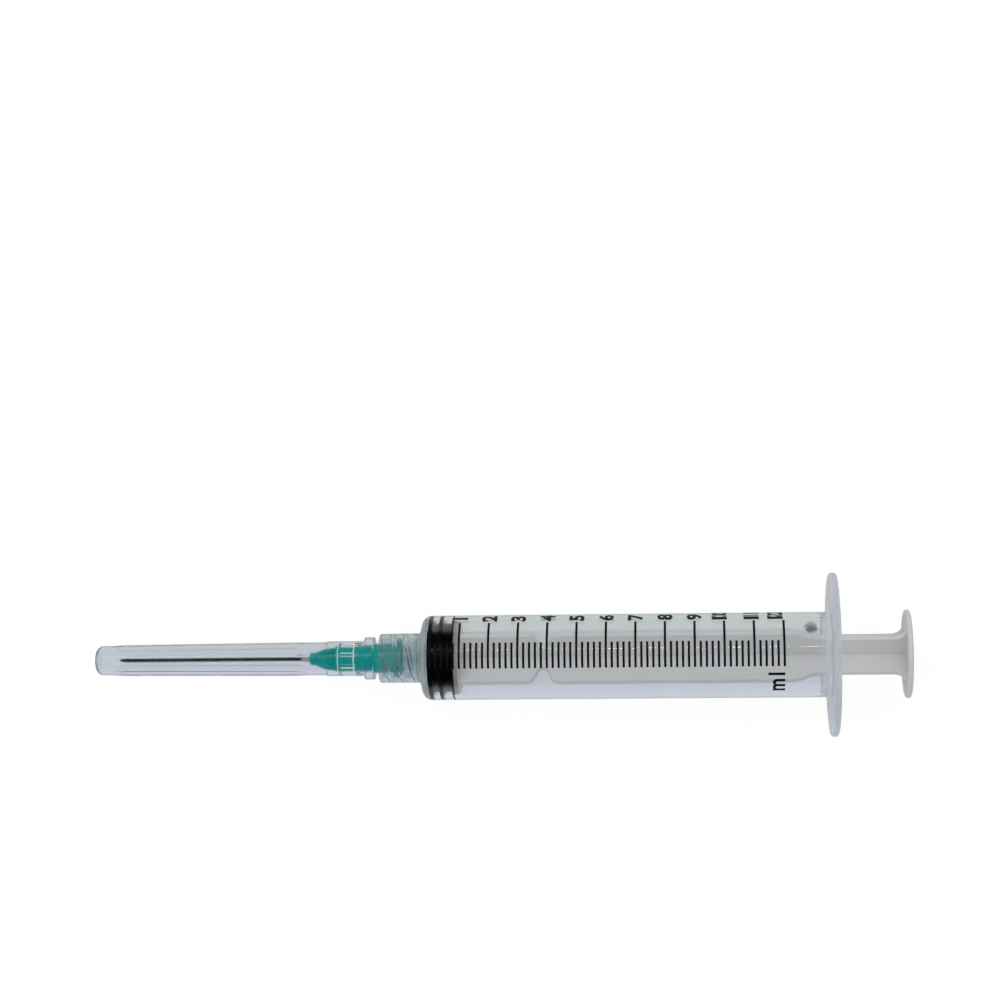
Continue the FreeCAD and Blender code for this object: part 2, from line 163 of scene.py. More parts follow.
class SyringeColours(bpy.types.PropertyGroup):
    """Colours that a user may change, as linear red, green and blue."""

    clear: colour_property("Clear", "Tint of the barrel's tube", (0.96, 0.975, 0.98))
    milky: colour_property("Milky", "Plunger", (0.50, 0.505, 0.515))
    # Painted shade: the plunger's disc is drawn darker where it lies against the black rubber stopper
    disc: colour_property("Disc", "Rim of the plunger's disc, against the rubber", (0.20, 0.205, 0.215))
    flange: colour_property("Flange", "Thick, milky end of the barrel", (0.68, 0.72, 0.77))
    hazy: colour_property("Hazy", "Luer end of the barrel", (0.70, 0.80, 0.83))
    cap: colour_property("Cap", "Needle cap", (0.97, 0.985, 1.0))
    green: colour_property("Green", "Needle hub", (0.001, 0.31, 0.285))
    rubber: colour_property("Rubber", "Stopper", (0.0015, 0.0015, 0.002))
    steel: colour_property("Steel", "Cannula", (0.14, 0.15, 0.18))
    glue: colour_property("Glue", "Bead that holds the cannula", (0.88, 0.90, 0.94))
    ink: colour_property("Ink", "Print of the scale", (0.006, 0.006, 0.008))
    floor: colour_property("Floor", "Surface that the syringe lies on", (0.95, 0.95, 0.95))
    shade_near: colour_property("Near shade", "Floor behind clear plastic, near side", (0.632, 0.677, 0.804))
    shade_far: colour_property("Far shade", "Floor behind clear plastic, far side", (0.589, 0.633, 0.658))
    shade_tube: colour_property("Tube shade", "Tint of that floor behind the thicker tube", (0.917, 0.901, 0.858))
    smudge: colour_property("Smudge", "Dirty spot on the tube near the flange", (0.30, 0.26, 0.33))


def sizes():
    """The sizes in use."""
    return bpy.context.scene.syringe_sizes


def colours():
    """The colours in use."""
    return bpy.context.scene.syringe_colours


# Outlines and meshes.


def outline(corners, closed=True):
    """Points of an outline; a corner is (x, r) or, where it is round, (x, r, radius)."""
    points = []
    for i, corner in enumerate(corners):
        here = Vector(corner[:2])
        open_end = not closed and i in (0, len(corners) - 1)
        if len(corner) == 2 or open_end:
            points.append(here)
            continue
        radius = corner[2]
        back = (Vector(corners[i - 1][:2]) - here).normalized()
        ahead = (Vector(corners[(i + 1) % len(corners)][:2]) - here).normalized()
        half = back.angle(ahead) / 2
        middle = here + (back + ahead).normalized() * radius / math.sin(half)
        first = here + back * radius / math.tan(half) - middle
        last = here + ahead * radius / math.tan(half) - middle
        for step in range(ARC_STEPS + 1):
            spoke = first.lerp(last, step / ARC_STEPS).normalized()
            points.append(middle + spoke * radius)
    return points


def run(start, end, steps):
    """Corners between two places on a straight line, without the places themselves."""
    return [
        tuple(Vector(start).lerp(Vector(end), step / steps))
        for step in range(1, steps)
    ]


def even_angles(count, extra=()):
    """Angles round the axis, with some extra ones where an edge has to be exact."""
    even = {round(math.tau * i / count, 9) for i in range(count)}
    return sorted(even | {round(angle % math.tau, 9) for angle in extra})


def turned(name, points, angles, closed=True, reach=None):
    """Mesh turned from (x, r) points. reach(x, r, angle) may change the radius on the way."""
    vertices = []
    rows = []
    for x, r in points:
        if r < WELD:
            rows.append([len(vertices)] * len(angles))
            vertices.append((x, 0, 0))
            continue
        rows.append(range(len(vertices), len(vertices) + len(angles)))
        for angle in angles:
            out = reach(x, r, angle) if reach else r
            vertices.append((x, out * math.sin(angle), out * math.cos(angle)))
    faces = []
    for i in range(len(rows) if closed else len(rows) - 1):
        this, following = rows[i], rows[(i + 1) % len(rows)]
        for j in range(len(angles)):
            k = (j + 1) % len(angles)
            ring = [this[j], following[j], following[k], this[k]]
            corners = list(dict.fromkeys(ring))
            if len(corners) > 2:
                faces.append(corners)
    mesh = bpy.data.meshes.new(name)
    mesh.from_pydata(vertices, [], faces)
    return mesh


def smooth(mesh, sharp=SHARP):
    """Smooth shading with crisp edges where two faces meet at more than an angle."""
    mesh.polygons.foreach_set("use_smooth", [True] * len(mesh.polygons))
    mesh.set_sharp_from_angle(angle=sharp)
    mesh.update()


def added(name, mesh):
    """A new object in the scene."""
    piece = bpy.data.objects.new(name, mesh)
    bpy.context.scene.collection.objects.link(piece)
    return piece


def baked(piece):
    """The piece's mesh with its modifiers applied, and the modifiers removed."""
    graph = bpy.context.evaluated_depsgraph_get()
    mesh = bpy.data.meshes.new_from_object(piece.evaluated_get(graph))
    mesh.name = piece.name
    piece.modifiers.clear()
    piece.data = mesh
    return mesh


def laid(piece, materials):
    """Lays a finished piece where the syringe lies and gives it its materials."""
    piece.data.transform(PLACE)
    smooth(piece.data)
    piece.data.materials.clear()
    for material in materials:
        piece.data.materials.append(material)


def lets_light_in(piece):
    """Keeps a clear piece or its print from shading what is inside."""
    piece.visible_shadow = False
    piece.visible_diffuse = False


def from_frame(node, name, material, bevel=0.0):
    """Welded and smoothly shaded copy of a node, with its edges slightly broken."""
    mesh = frame["nodes"][node].data.copy()
    work = bmesh.new()
    work.from_mesh(mesh)
    bmesh.ops.remove_doubles(work, verts=work.verts, dist=WELD)
    bmesh.ops.dissolve_limit(
        work, angle_limit=math.radians(0.5), verts=work.verts, edges=work.edges)
    work.to_mesh(mesh)
    work.free()
    piece = added(name, mesh)
    if bevel:
        breaking = piece.modifiers.new("Broken edges", "BEVEL")
        breaking.width = bevel
        breaking.segments = 2
        breaking.limit_method = "ANGLE"
        breaking.angle_limit = math.radians(40)
        baked(piece)
    smooth(piece.data)
    piece.data.materials.clear()
    piece.data.materials.append(material)
    return piece


# Node trees.


class Tree:
    """A node tree that is written a node at a time."""

    def __init__(self, tree):
        self.tree = tree

    def node(self, kind, inputs=None, **settings):
        """Adds a node; an input is a value or another node's output socket."""
        node = self.tree.nodes.new(kind)
        for key, value in settings.items():
            setattr(node, key, value)
        for key, value in (inputs or {}).items():
            if isinstance(value, bpy.types.NodeSocket):
                self.tree.links.new(value, node.inputs[key])
            else:
                node.inputs[key].default_value = value
        return node

    def math(self, operation, first, second=0.0):
        """Output of a sum with one or two numbers."""
        return self.node("ShaderNodeMath", {0: first, 1: second}, operation=operation).outputs[0]

    def link(self, output, target):
        """Joins an output to an input."""
        self.tree.links.new(output, target)


class GeometryTree(Tree):
    """Geometry nodes with named inputs, put on one piece and baked."""

    def __init__(self, name, lengths):
        super().__init__(bpy.data.node_groups.new(name, "GeometryNodeTree"))
        face = self.tree.interface
        face.new_socket("Geometry", in_out="INPUT", socket_type="NodeSocketGeometry")
        for label, value in lengths.items():
            kind = "NodeSocketInt" if isinstance(value, int) else "NodeSocketFloat"
            face.new_socket(label, in_out="INPUT", socket_type=kind)
        face.new_socket("Material", in_out="INPUT", socket_type="NodeSocketMaterial")
        face.new_socket("Geometry", in_out="OUTPUT", socket_type="NodeSocketGeometry")
        self.values = dict(lengths)
        self.given = self.node("NodeGroupInput").outputs

    def finish(self, geometry):
        """Ends the tree in real meshes with one material."""
        real = self.node("GeometryNodeRealizeInstances", {"Geometry": geometry}).outputs[0]
        painted = self.node(
            "GeometryNodeSetMaterial", {"Geometry": real, "Material": self.given["Material"]})
        end = self.tree.nodes.new("NodeGroupOutput")
        self.link(painted.outputs[0], end.inputs["Geometry"])

    def bake(self, piece, material):
        """Runs the tree on a piece and keeps the result as a plain mesh."""
        modifier = piece.modifiers.new(self.tree.name, "NODES")
        modifier.node_group = self.tree
        for item in self.tree.interface.items_tree:
            if item.in_out == "INPUT" and item.name in self.values:
                modifier[item.identifier] = self.values[item.name]
            if item.in_out == "INPUT" and item.name == "Material":
                modifier[item.identifier] = material
        return baked(piece)


def ridges(piece, material, title, values):
    """Raises ridges on a turned piece: straight ones along it, or a thread round it.

    Angle, Width and Crest are angles round the axis; a positive Twist turns the ridges as x
    grows. The ridges lie between Start and End, and on radii between Inside and Outside."""
    tree = GeometryTree(title, values)
    given = tree.given
    place = tree.node("ShaderNodeSeparateXYZ", {0: tree.node("GeometryNodeInputPosition").outputs[0]})
    x, y, z = place.outputs
    radius = tree.math("SQRT", tree.math("ADD", tree.math("MULTIPLY", y, y), tree.math("MULTIPLY", z, z)))
    angle = tree.math("ARCTAN2", y, z)
    turned_by = tree.math("MULTIPLY", given["Twist"], tree.math("SUBTRACT", x, given["Origin"]))
    from_first = tree.math("SUBTRACT", tree.math("SUBTRACT", angle, given["Angle"]), turned_by)
    half_step = tree.math("DIVIDE", math.pi, given["Count"])
    wrapped = tree.node(
        "ShaderNodeMath",
        {0: from_first, 1: half_step, 2: tree.math("MULTIPLY", half_step, -1.0)},
        operation="WRAP",
    ).outputs[0]
    slope = tree.node("ShaderNodeMapRange", {
        "Value": tree.math("ABSOLUTE", wrapped),
        "From Min": tree.math("MULTIPLY", given["Width"], 0.5),
        "From Max": tree.math("MULTIPLY", given["Crest"], 0.5),
    }, interpolation_type="SMOOTHSTEP").outputs[0]
    rise = tree.node("ShaderNodeMapRange", {
        "Value": x, "From Min": given["Start"], "From Max": tree.math("ADD", given["Start"], given["Fade"]),
    }, interpolation_type="SMOOTHSTEP").outputs[0]
    fall = tree.node("ShaderNodeMapRange", {
        "Value": x, "From Min": given["End"], "From Max": tree.math("SUBTRACT", given["End"], given["Fade"]),
    }, interpolation_type="SMOOTHSTEP").outputs[0]
    zone = tree.math(
        "MULTIPLY",
        tree.math("GREATER_THAN", radius, given["Inside"]),
        tree.math("LESS_THAN", radius, given["Outside"]),
    )
    share = tree.math("MULTIPLY", tree.math("MULTIPLY", slope, zone), tree.math("MULTIPLY", rise, fall))
    height = tree.math("MULTIPLY", given["Height"], share)
    grown = tree.math("DIVIDE", tree.math("ADD", radius, height), tree.math("MAXIMUM", radius, WELD))
    moved = tree.node("ShaderNodeCombineXYZ", {
        0: x, 1: tree.math("MULTIPLY", y, grown), 2: tree.math("MULTIPLY", z, grown)}).outputs[0]
    shaped = tree.node("GeometryNodeSetPosition", {"Geometry": given["Geometry"], "Position": moved})
    tree.finish(shaped.outputs[0])
    return tree.bake(piece, material)


# Materials.


def shader(name):
    """A new material's tree with its surface shader and the piece's own coordinates."""
    material = bpy.data.materials.new(name)
    material.use_nodes = True
    tree = Tree(material.node_tree)
    surface = material.node_tree.nodes["Principled BSDF"]
    place = tree.node("ShaderNodeTexCoord").outputs["Object"]
    return material, tree, surface, place


def set_on(surface, values):
    """Sets plain values on the shader's own sockets."""
    for key, value in values.items():
        surface.inputs[key].default_value = value


def noise(tree, place, size, detail=3.0, stretch=1.0):
    """Noise whose features are about a size across, longer along the syringe by a stretch."""
    finer = (1 / (size * stretch), 1 / size, 1 / size)
    spread = tree.node("ShaderNodeMapping", {"Vector": place, "Scale": finer})
    return tree.node(
        "ShaderNodeTexNoise",
        {"Vector": spread.outputs[0], "Scale": 1.0, "Detail": detail, "Roughness": 0.55},
    ).outputs["Fac"]


def shaded(tree, factor, colour, darker):
    """Colour that varies with a factor between a share of itself and itself."""
    blend = tree.node("ShaderNodeMix", {
        "Factor": factor,
        6: tuple(channel * darker for channel in colour) + (1.0,),
        7: tuple(colour) + (1.0,),
    }, data_type="RGBA")
    return blend.outputs[2]


def spread_between(tree, factor, low, high):
    """A factor stretched between two numbers."""
    return tree.node("ShaderNodeMapRange", {
        "Value": factor, "From Min": 0.3, "From Max": 0.7, "To Min": low, "To Max": high,
    }).outputs[0]


def coloured(tree, surface, factor, colour, darker):
    """Lets the surface's colour vary with a factor."""
    varied = shaded(tree, spread_between(tree, factor, 0, 1), colour, darker)
    tree.link(varied, surface.inputs["Base Color"])


def moulded(name, colour, darker, roughness, waves, surface_values):
    """Moulded plastic: faint clouds in its colour, uneven gloss and a slightly wavy skin."""
    material, tree, surface, place = shader(name)
    clouds = noise(tree, place, 4 * MM, 3.0, 2.5)
    coloured(tree, surface, clouds, colour, darker)
    grain = noise(tree, place, 0.5 * MM, 4.0, 1.6)
    tree.link(spread_between(tree, grain, *roughness), surface.inputs["Roughness"])
    skin = noise(tree, place, 1.6 * MM, 2.0, 4.0)
    bump = tree.node("ShaderNodeBump", {"Strength": waves, "Distance": 0.02 * MM, "Height": skin})
    tree.link(bump.outputs[0], surface.inputs["Normal"])
    set_on(surface, surface_values)
    return material


def clear_plastic():
    """Clear tube: tinted a little, glossy, with the faint flow marks of moulding and a
    smudge beside the flange."""
    material = moulded(
        "clear_plastic", colours().clear, 0.98, (0.03, 0.07), 0.2,
        {"Transmission Weight": 1.0, "IOR": PLASTIC_IOR},
    )
    tree = Tree(material.node_tree)
    base = material.node_tree.nodes["Principled BSDF"].inputs["Base Color"]
    clean = base.links[0].from_socket
    place = tree.node("ShaderNodeTexCoord").outputs["Object"]
    angle = math.radians(44)
    from_flange = 3.9 * MM
    solid_r = 1.8 * MM
    edge_r = 2.4 * MM
    round_tube = (barrel_r() * math.sin(angle), barrel_r() * math.cos(angle))
    spot = PLACE @ Vector((flange_x() - from_flange, *round_tube))
    away = tree.node("ShaderNodeVectorMath", {0: place, 1: spot}, operation="DISTANCE").outputs["Value"]
    ragged = tree.math("MULTIPLY", noise(tree, place, 0.7 * MM, 5.0), 1.6 * MM)
    cover = tree.node("ShaderNodeMapRange", {
        "Value": tree.math("ADD", away, ragged), "From Min": solid_r, "From Max": edge_r,
        "To Min": 1.0, "To Max": 0.0}, interpolation_type="SMOOTHSTEP").outputs[0]
    dirty = tree.node("ShaderNodeMix", {
        "Factor": cover, 6: clean, 7: tuple(colours().smudge) + (1.0,)}, data_type="RGBA")
    tree.link(dirty.outputs[2], base)
    return material


def hazy_plastic():
    """The luer end, where the mould is textured: the same plastic with a soft haze."""
    return moulded(
        "hazy_plastic", colours().hazy, 0.97, (0.14, 0.20), 0.2,
        {"Transmission Weight": 0.97, "IOR": PLASTIC_IOR},
    )


def milky_plastic(name, colour, see_through):
    """Thicker, milky plastic that lets only part of the light through."""
    return moulded(
        name, colour, 0.96, (0.30, 0.40), 0.2,
        {"Transmission Weight": see_through, "IOR": PLASTIC_IOR},
    )


def cap_plastic():
    """Milky, thin cap that blurs what it holds."""
    return moulded(
        "cap_plastic", colours().cap, 0.97, (0.17, 0.24), 0.3,
        {"Transmission Weight": 1.0, "IOR": PLASTIC_IOR},
    )


def green_plastic():
    """Translucent green hub."""
    return moulded(
        "green_plastic", colours().green, 0.85, (0.22, 0.32), 0.35,
        {"Transmission Weight": 0.25, "IOR": PLASTIC_IOR, "Specular IOR Level": 0.15},
    )


def black_rubber():
    """Black rubber under a film of silicone oil."""
    material, tree, surface, place = shader("black_rubber")
    bloom = noise(tree, place, 2.2 * MM, 4.0)
    coloured(tree, surface, bloom, colours().rubber, 0.6)
    tree.link(spread_between(tree, bloom, 0.22, 0.38), surface.inputs["Roughness"])
    bump = tree.node("ShaderNodeBump", {
        "Strength": 0.3, "Distance": 0.02 * MM, "Height": noise(tree, place, 0.35 * MM, 3.0)})
    tree.link(bump.outputs[0], surface.inputs["Normal"])
    set_on(surface, {"Coat Weight": 0.1, "Coat Roughness": 0.12, "Specular IOR Level": 0.2})
    return material


def drawn_steel():
    """Drawn steel tube with fine lines along it."""
    material, tree, surface, place = shader("drawn_steel")
    lines = noise(tree, place, 0.05 * MM, 3.0, 60.0)
    coloured(tree, surface, lines, colours().steel, 0.8)
    tree.link(spread_between(tree, lines, 0.2, 0.4), surface.inputs["Roughness"])
    bump = tree.node("ShaderNodeBump", {"Strength": 0.25, "Distance": 0.004 * MM, "Height": lines})
    tree.link(bump.outputs[0], surface.inputs["Normal"])
    set_on(surface, {"Metallic": 1.0})
    return material


def cured_glue():
    """Clear glue with a few clouds."""
    material, tree, surface, place = shader("cured_glue")
    clouds = noise(tree, place, 0.5 * MM, 3.0)
    coloured(tree, surface, clouds, colours().glue, 0.9)
    tree.link(spread_between(tree, clouds, 0.08, 0.25), surface.inputs["Roughness"])
    set_on(surface, {"Transmission Weight": 0.8, "IOR": 1.5})
    return material


def scale_ink():
    """Black screen print, a little uneven in its cover."""
    material, tree, surface, place = shader("scale_ink")
    cover = noise(tree, place, 0.12 * MM, 5.0)
    coloured(tree, surface, cover, colours().ink, 0.5)
    tree.link(spread_between(tree, cover, 0.3, 0.45), surface.inputs["Roughness"])
    set_on(surface, {"Specular IOR Level": 0.1})
    return material


# Sizes that follow from the ones in use.


def bore_r():
    """Radius of the bore."""
    return sizes().bore / 2


def barrel_r():
    """Outer radius of the tube."""
    return bore_r() + sizes().wall


def ml_length():
    """Length of one millilitre in the bore."""
    return 1000 * MM ** 3 / (math.pi * bore_r() ** 2)


def flange_x():
    """Front of the finger flange."""
    return sizes().scale_ml * ml_length() + 9.08 * MM


def luer_radius(x):
    """Radius of the barrel's luer cone at x."""
    return (3.93 * MM + 0.06 * (x - LUER_TIP_X)) / 2


# Operators.


class SYRINGE_OT_barrel(bpy.types.Operator):
    """Tube, flange, threaded collar and luer tip, moulded as one piece"""

    bl_idname = "syringe.barrel"
    bl_label = "Barrel"

    segments = 192
    flange_flat_r = 15.0 * MM
    flange_t = 1.4 * MM

    def flange_reach(self, x, r, angle):
        """Radius at an angle: the flange's disc is cut by its two flats."""
        if r < self.flange_flat_r - 2 * MM:
            return r
        flat = self.flange_flat_r / max(abs(math.cos(angle)), WELD)
        return r * min(FLANGE_R, flat) / FLANGE_R

    def execute(self, context):
        front_x = -2.6 * MM
        collar_x = front_x - 8.1 * MM
        floor_x = front_x - 0.35 * MM
        bore_x = -0.7 * MM
        slope = 0.9 * MM
        collar_r = 4.85 * MM
        collar_base_r = 4.9 * MM
        thread_r = 4.0 * MM
        lumen_r = 1.05 * MM
        stop_x = flange_x() + self.flange_t - 2.4 * MM
        stop_half = 0.6 * MM
        mouth_x = flange_x() + self.flange_t
        thread_rows = 96
        rows = 8
        corners = [
            (LUER_TIP_X, lumen_r),
            (LUER_TIP_X, luer_radius(LUER_TIP_X), 0.2 * MM),
            *run((LUER_TIP_X, luer_radius(LUER_TIP_X)), (floor_x, luer_radius(floor_x)), rows),
            (floor_x, luer_radius(floor_x), 0.15 * MM),
            (floor_x, thread_r, 0.15 * MM),
            *run((floor_x, thread_r), (collar_x, thread_r), thread_rows),
            (collar_x, thread_r, 0.18 * MM),
            (collar_x, collar_r, 0.25 * MM),
            *run((collar_x, collar_r), (front_x, collar_base_r), rows),
            (front_x, collar_base_r, 0.6 * MM),
            (front_x + slope, barrel_r(), 1.8 * MM),
            (front_x + slope + 1.7 * MM, barrel_r()),
            (flange_x() - 1.2 * MM, barrel_r()),
            (flange_x(), barrel_r(), 0.8 * MM),
            *run((flange_x(), barrel_r()), (flange_x(), FLANGE_R), rows),
            (flange_x(), FLANGE_R, 0.42 * MM),
            (mouth_x, FLANGE_R, 0.42 * MM),
            *run((mouth_x, FLANGE_R), (mouth_x, bore_r() + 0.3 * MM), rows),
            (mouth_x, bore_r() + 0.3 * MM, 0.25 * MM),
            (mouth_x - 0.6 * MM, bore_r()),
            (stop_x + stop_half, bore_r()),
            (stop_x, bore_r() - 0.15 * MM, 0.5 * MM),
            (stop_x - stop_half, bore_r()),
            (stop_x - 2 * stop_half, bore_r()),
            (bore_x + 0.6 * MM, bore_r()),
            (bore_x, bore_r(), 0.2 * MM),
            (bore_x - slope, lumen_r),
        ]
        flat_corner = math.acos(self.flange_flat_r / FLANGE_R)
        half_turns = [flat_corner, -flat_corner, math.pi + flat_corner, math.pi - flat_corner]
        mesh = turned(
            "barrel_moulding", outline(corners), even_angles(self.segments, half_turns),
            reach=self.flange_reach)
        piece = added("barrel_moulding", mesh)
        clear = clear_plastic()
        milky = milky_plastic("milky_flange", colours().flange, 0.75)
        lead = sizes().thread_lead
        to_turn = math.tau / lead
        ridges(piece, clear, "Thread", {
            "Count": 2,
            "Height": -sizes().thread_depth,
            "Width": 1.0 * MM * to_turn,
            "Crest": 0.4 * MM * to_turn,
            "Angle": 0.0,
            "Twist": -to_turn,
            "Origin": -6.9 * MM,
            "Start": collar_x + 0.4 * MM,
            "End": floor_x - 0.3 * MM,
            "Fade": 0.3 * MM,
            "Inside": 3.6 * MM,
            "Outside": 4.3 * MM,
        })
        shoulder = milky_plastic("milky_shoulder", colours().hazy, 0.9)
        laid(piece, [clear, milky, hazy_plastic(), shoulder])
        for face in piece.data.polygons:
            x, y, z = BACK @ face.center
            on_flange = x > flange_x() - 1.25 * MM and math.hypot(y, z) > bore_r() + 0.2 * MM
            if on_flange:
                face.material_index = 1
            elif front_x - 0.2 * MM < x < bore_x - 0.2 * MM:
                face.material_index = 3
            elif x < bore_x:
                face.material_index = 2
            else:
                face.material_index = 0
        lets_light_in(piece)
        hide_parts("barrel")
        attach(piece, "barrel")
        return {"FINISHED"}


def wrap_angle_radius():
    """Radius of the middle of the print."""
    return barrel_r() + sizes().ink_thickness


class SYRINGE_OT_ticks(bpy.types.Operator):
    """Marks of the scale, each fifth one longer"""

    bl_idname = "syringe.ticks"
    bl_label = "Scale marks"

    def execute(self, context):
        size = sizes()
        radius = wrap_angle_radius()
        tree = GeometryTree("Scale marks", {
            "Marks": size.scale_ml * size.ticks_per_ml + 1,
            "Marks per ml": size.ticks_per_ml,
            "Spacing": ml_length() / size.ticks_per_ml,
            "Width": size.tick_width,
            "Thickness": size.ink_thickness,
            "Radius": radius,
            "Start": size.tick_start * radius,
            "Short": (size.short_tick - size.tick_start) * radius,
            "Long": (size.long_tick - size.tick_start) * radius,
        })
        given = tree.given
        step = tree.node("ShaderNodeCombineXYZ", {0: given["Spacing"]}).outputs[0]
        line = tree.node("GeometryNodeMeshLine", {"Count": given["Marks"], "Offset": step})
        number = tree.node("GeometryNodeInputIndex").outputs[0]
        odd = tree.math("MODULO", number, given["Marks per ml"])
        is_long = tree.math("LESS_THAN", odd, 0.5)
        length = tree.node("ShaderNodeMix", {
            "Factor": is_long, "A": given["Short"], "B": given["Long"]}).outputs[0]
        middle = tree.math("ADD", given["Start"], tree.math("MULTIPLY", length, 0.5))
        places = tree.node("GeometryNodeSetPosition", {
            "Geometry": line.outputs[0],
            "Offset": tree.node("ShaderNodeCombineXYZ", {1: middle}).outputs[0]})
        bar = tree.node("GeometryNodeMeshCube", {
            "Size": tree.node("ShaderNodeCombineXYZ", {
                0: given["Width"], 1: 1.0, 2: given["Thickness"]}).outputs[0],
            "Vertices X": 2, "Vertices Y": 28, "Vertices Z": 2})
        bars = tree.node("GeometryNodeInstanceOnPoints", {
            "Points": places.outputs[0],
            "Instance": bar.outputs[0],
            "Scale": tree.node("ShaderNodeCombineXYZ", {0: 1.0, 1: length, 2: 1.0}).outputs[0]})
        flat = tree.node("GeometryNodeRealizeInstances", {"Geometry": bars.outputs[0]})
        x, y, z = tree.node(
            "ShaderNodeSeparateXYZ", {0: tree.node("GeometryNodeInputPosition").outputs[0]}).outputs
        angle = tree.math("DIVIDE", y, given["Radius"])
        out = tree.math("ADD", given["Radius"], z)
        round_tube = tree.node("ShaderNodeCombineXYZ", {
            0: x,
            1: tree.math("MULTIPLY", out, tree.math("SINE", angle)),
            2: tree.math("MULTIPLY", out, tree.math("COSINE", angle))})
        wrapped = tree.node("GeometryNodeSetPosition", {
            "Geometry": flat.outputs[0], "Position": round_tube.outputs[0]})
        tree.finish(wrapped.outputs[0])
        piece = added("scale_marks", bpy.data.meshes.new("scale_marks"))
        ink = scale_ink()
        tree.bake(piece, ink)
        laid(piece, [ink])
        lets_light_in(piece)
        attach(piece, "barrel")
        return {"FINISHED"}


class SYRINGE_OT_numbers(bpy.types.Operator):
    """Numbers of the scale and its unit, wrapped on the tube"""

    bl_idname = "syringe.numbers"
    bl_label = "Scale numbers"

    strip = 0.25 * MM
    boldness = 0.042
    unit_boldness = 0.025
    digit_stretch = 1.4
    # The last numbers stand a little before their marks.
    early = {10: 0.9 * MM, 11: 0.45 * MM, 12: 1.6 * MM}
    # A one is narrow and stands in the middle of a digit's place.
    aside = {1: math.radians(6)}

    def words(self, text, height, boldness, stretch):
        """Flat mesh of a word: its height along -x, read towards +y, both from zero."""
        curve = bpy.data.curves.new("word", "FONT")
        curve.body = text
        curve.offset = boldness
        curve.extrude = 0.01
        curve.resolution_u = 6
        holder = added("word", curve)
        graph = bpy.context.evaluated_depsgraph_get()
        mesh = bpy.data.meshes.new_from_object(holder.evaluated_get(graph))
        bpy.data.objects.remove(holder)
        tall = max(v.co.y for v in mesh.vertices) - min(v.co.y for v in mesh.vertices)
        scale = height / tall
        low = min(v.co.y for v in mesh.vertices)
        left = min(v.co.x for v in mesh.vertices)
        for v in mesh.vertices:
            along = -(v.co.y - low) * scale
            across = (v.co.x - left) * scale * stretch
            deep = math.copysign(sizes().ink_thickness / 2, v.co.z)
            v.co = (along, across, deep)
        return mesh

    def wrapped(self, mesh, base_x, start):
        """Bends a flat word round the tube, from an angle on, and returns its work mesh."""
        work = bmesh.new()
        work.from_mesh(mesh)
        bmesh.ops.remove_doubles(work, verts=work.verts, dist=WELD)
        widest = max(v.co.y for v in work.verts)
        for i in range(1, math.ceil(widest / self.strip)):
            parts = list(work.verts) + list(work.edges) + list(work.faces)
            bmesh.ops.bisect_plane(
                work, geom=parts, dist=WELD / 10, plane_co=(0, i * self.strip, 0), plane_no=(0, 1, 0))
        bmesh.ops.triangulate(work, faces=work.faces)
        radius = wrap_angle_radius()
        for v in work.verts:
            angle = start + v.co.y / radius
            out = radius + v.co.z
            v.co = (base_x + v.co.x, out * math.sin(angle), out * math.cos(angle))
        bmesh.ops.recalc_face_normals(work, faces=work.faces)
        return work

    def execute(self, context):
        size = sizes()
        whole = bpy.data.meshes.new("scale_numbers")
        words = [
            (str(ml), ml * ml_length() + size.digit_height / 2 - self.early.get(ml, 0.0),
             size.digit_start + self.aside.get(ml, 0.0), size.digit_height, self.digit_stretch, self.boldness)
            for ml in range(1, size.scale_ml + 1)
        ]
        unit_x = size.scale_ml * ml_length() + 0.1 * MM
        words.append(("m", unit_x, math.radians(-51), 2.4 * MM, 0.95, self.unit_boldness))
        words.append(("l", unit_x, math.radians(-23.7), 3.25 * MM, 0.9, self.unit_boldness))
        every = bmesh.new()
        for text, base_x, start, height, stretch, boldness in words:
            work = self.wrapped(self.words(text, height, boldness, stretch), base_x, start)
            part = bpy.data.meshes.new("part")
            work.to_mesh(part)
            work.free()
            every.from_mesh(part)
        every.to_mesh(whole)
        every.free()
        piece = added("scale_numbers", whole)
        laid(piece, [scale_ink()])
        lets_light_in(piece)
        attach(piece, "barrel")
        return {"FINISHED"}


class SYRINGE_OT_stopper(bpy.types.Operator):
    """Rubber stopper with its sealing rings pressed to the bore"""

    bl_idname = "syringe.stopper"
    bl_label = "Stopper"

    def execute(self, context):
        front = -0.58 * MM
        end = front + 5.0 * MM
        ring = bore_r() + 0.012 * MM
        groove = RING_R - 0.6 * MM
        nose = 0.84 * MM
        edge = 0.12 * MM
        corners = [(front - nose, 0)]
        rings = [
            (front, front + 0.9 * MM),
            (front + 2.05 * MM, front + 2.95 * MM),
            (end - 0.45 * MM, end),
        ]
        for i, (start, stop) in enumerate(rings):
            if i:
                corners += [(start, groove, edge)]
            corners += [(start, ring, edge), (stop, ring, edge), (stop, groove, edge)]
        corners += [
            (end, 3.18 * MM),
            (end - 0.9 * MM, 3.18 * MM),
            (end - 0.9 * MM, 4.28 * MM),
            (end - 3.33 * MM, 4.28 * MM),
            (end - 3.33 * MM, 0),
        ]
        mesh = turned("stopper_rubber", outline(corners, closed=False), even_angles(160), closed=False)
        piece = added("stopper_rubber", mesh)
        laid(piece, [black_rubber()])
        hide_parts("plunger_stopper")
        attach(piece, "plunger")
        return {"FINISHED"}


